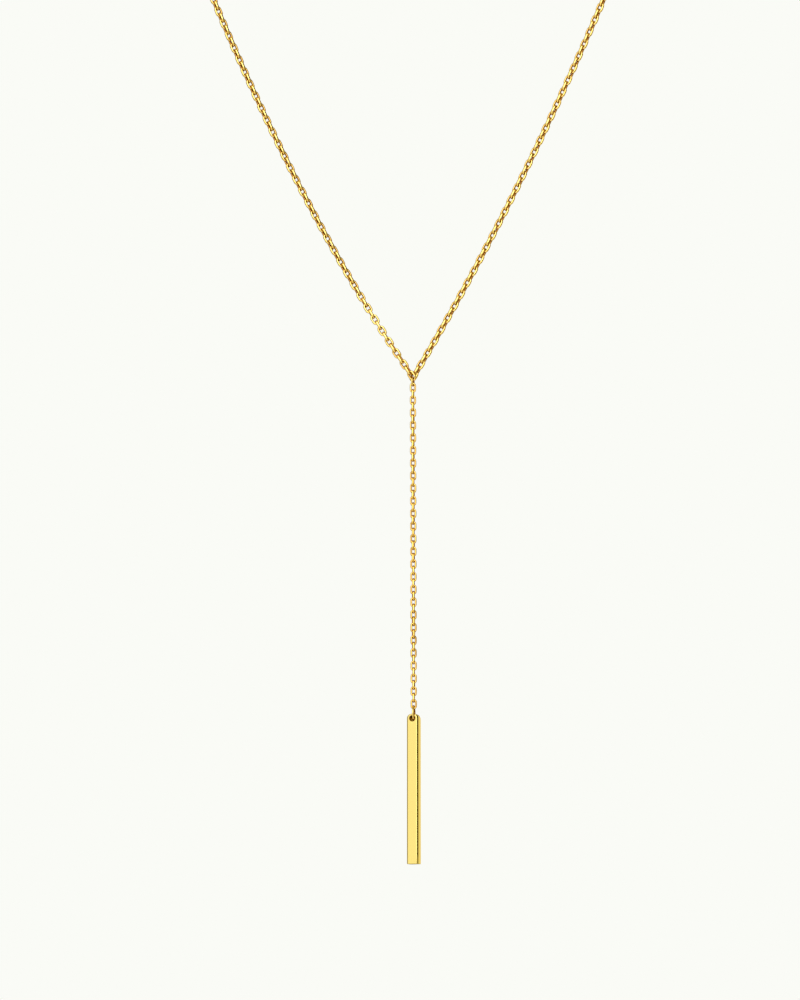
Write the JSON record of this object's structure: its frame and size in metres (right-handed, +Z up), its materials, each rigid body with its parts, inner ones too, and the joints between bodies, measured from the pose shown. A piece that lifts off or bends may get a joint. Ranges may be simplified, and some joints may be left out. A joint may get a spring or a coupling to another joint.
{
  "type": "y necklace",
  "caption": "Fine cable-chain y necklace: a neck chain with a clasp, a drop chain from its lowest point and a slim square bar pendant that swings on a ring.",
  "frame": {"origin": "middle of the clasp ring, where the closed necklace rests on the nape", "axes": "+Z up, -Y towards the front where the drop hangs, +X to the viewer's right seen from the front"},
  "size_m": [0.1018, 0.0872, 0.238],
  "materials": {
    "neck_chain_gold": "polished yellow gold plate on the neck chain's links",
    "drop_chain_gold": "polished yellow gold plate on the drop chain's links",
    "ring_gold": "polished yellow gold plate on the rings and the clasp",
    "bar_gold": "finely brushed and polished pale yellow gold plate"
  },
  "bodies": {
    "necklace": {"neck_chain_left": "neck_chain_gold", "neck_chain_right": "neck_chain_gold", "nape_chain_left": "neck_chain_gold", "nape_chain_right": "neck_chain_gold", "junction_ring": "ring_gold", "drop_chain": "drop_chain_gold", "pendant_ring": "ring_gold", "clasp": "ring_gold", "end_ring_left": "ring_gold", "end_ring_right": "ring_gold"},
    "pendant": {"bar_pendant": "bar_gold"}
  },
  "joints": [
    {"name": "pendant_swing", "type": "hinge", "parent": "necklace", "child": "pendant", "pos_m": [0, -0.084, -0.20606], "axis": [0.342, 0.9397, 0], "range_deg": [-60, 60]}
  ]
}
